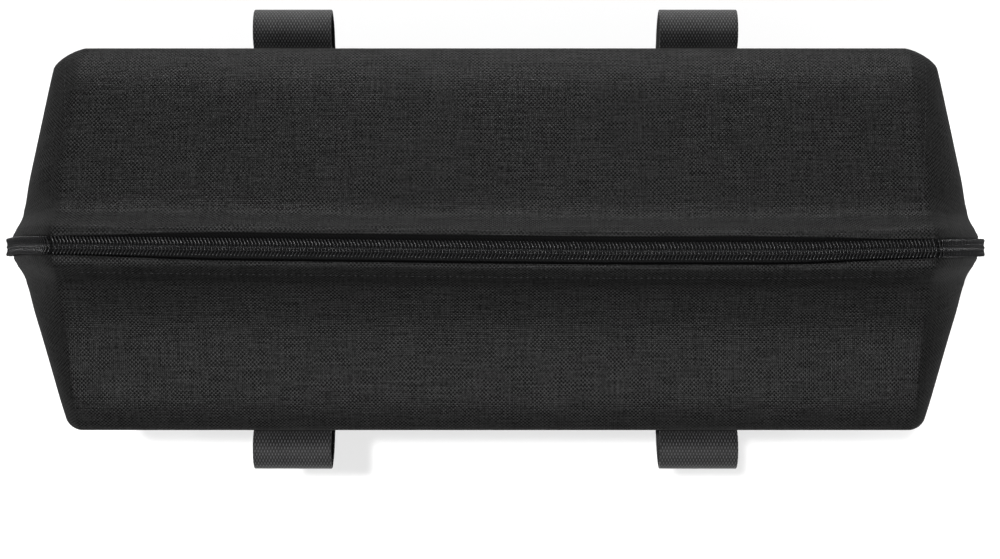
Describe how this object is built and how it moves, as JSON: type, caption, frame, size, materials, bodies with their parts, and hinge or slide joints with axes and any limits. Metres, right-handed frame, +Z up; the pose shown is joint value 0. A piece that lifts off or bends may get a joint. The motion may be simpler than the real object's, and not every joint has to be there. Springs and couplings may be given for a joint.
{
  "type": "soft cooler bag",
  "caption": "Soft insulated cooler bag with a zipped two-flap top, foam walls, a sewn liner and webbing carrying handles.",
  "frame": {"origin": "middle of the underside, on the surface that the bag stands on", "axes": "+X along the zip to the right of the front wall, +Y from the front wall to the back wall, +Z up"},
  "size_m": [0.4656, 0.222, 0.2939],
  "materials": {
    "fabric": "coarse plain-woven polyester with slubs, dark grey-black, matt",
    "foam": "closed-cell polyethylene foam sheet, off-white",
    "liner": "foil-faced film, silver grey, creased",
    "zip_tape": "black knitted polyester tape",
    "zip_coil": "black nylon coil, satin",
    "zip_metal": "black-enamelled zinc casting",
    "webbing": "flat woven polypropylene webbing, black"
  },
  "bodies": {
    "shell": {"base_panel": "fabric", "front_panel": "fabric", "back_panel": "fabric", "left_side_panel": "fabric", "right_side_panel": "fabric", "base_foam": "foam", "front_foam": "foam", "back_foam": "foam", "left_side_foam": "foam", "right_side_foam": "foam", "liner_tub": "liner", "left_tail_tape": "zip_tape", "right_tail_tape": "zip_tape", "left_tail_coil": "zip_coil", "right_tail_coil": "zip_coil", "left_zip_stop": "zip_metal", "right_zip_stop": "zip_metal", "left_end_tab": "fabric", "right_end_tab": "fabric", "left_front_tail_hem": "fabric", "left_back_tail_hem": "fabric", "right_front_tail_hem": "fabric", "right_back_tail_hem": "fabric", "front_left_strap_leg": "webbing", "front_right_strap_leg": "webbing", "back_left_strap_leg": "webbing", "back_right_strap_leg": "webbing"},
    "front_flap": {"front_top_panel": "fabric", "front_top_foam": "foam", "front_top_liner": "liner", "front_left_hip": "fabric", "front_right_hip": "fabric", "front_zip_tape": "zip_tape", "front_zip_coil": "zip_coil"},
    "back_flap": {"back_top_panel": "fabric", "back_top_foam": "foam", "back_top_liner": "liner", "back_left_hip": "fabric", "back_right_hip": "fabric", "back_zip_tape": "zip_tape", "back_zip_coil": "zip_coil"},
    "front_handle": {"front_handle": "webbing"},
    "back_handle": {"back_handle": "webbing"},
    "zip_slider": {"zip_slider": "zip_metal"},
    "zip_puller": {"zip_puller": "zip_metal"}
  },
  "joints": [
    {"name": "front_flap_hinge", "type": "hinge", "parent": "shell", "child": "front_flap", "pos_m": [0, -0.09, 0.245], "axis": [1, 0, 0], "range_deg": [0, 55]},
    {"name": "back_flap_hinge", "type": "hinge", "parent": "shell", "child": "back_flap", "pos_m": [0, 0.09, 0.245], "axis": [-1, 0, 0], "range_deg": [0, 55]},
    {"name": "front_handle_swing", "type": "hinge", "parent": "shell", "child": "front_handle", "pos_m": [0, -0.101, 0.22], "axis": [-1, 0, 0], "range_deg": [0, 185]},
    {"name": "back_handle_swing", "type": "hinge", "parent": "shell", "child": "back_handle", "pos_m": [0, 0.101, 0.22], "axis": [1, 0, 0], "range_deg": [0, 185]},
    {"name": "zip_slide", "type": "slide", "parent": "shell", "child": "zip_slider", "axis": [0.0894, 0, 0.996], "range_m": [0, 0.06]},
    {"name": "zip_puller_swing", "type": "hinge", "parent": "zip_slider", "child": "zip_puller", "pos_m": [0.22849, -0.004, 0.17218], "axis": [0, -1, 0], "range_deg": [0, 175]}
  ]
}
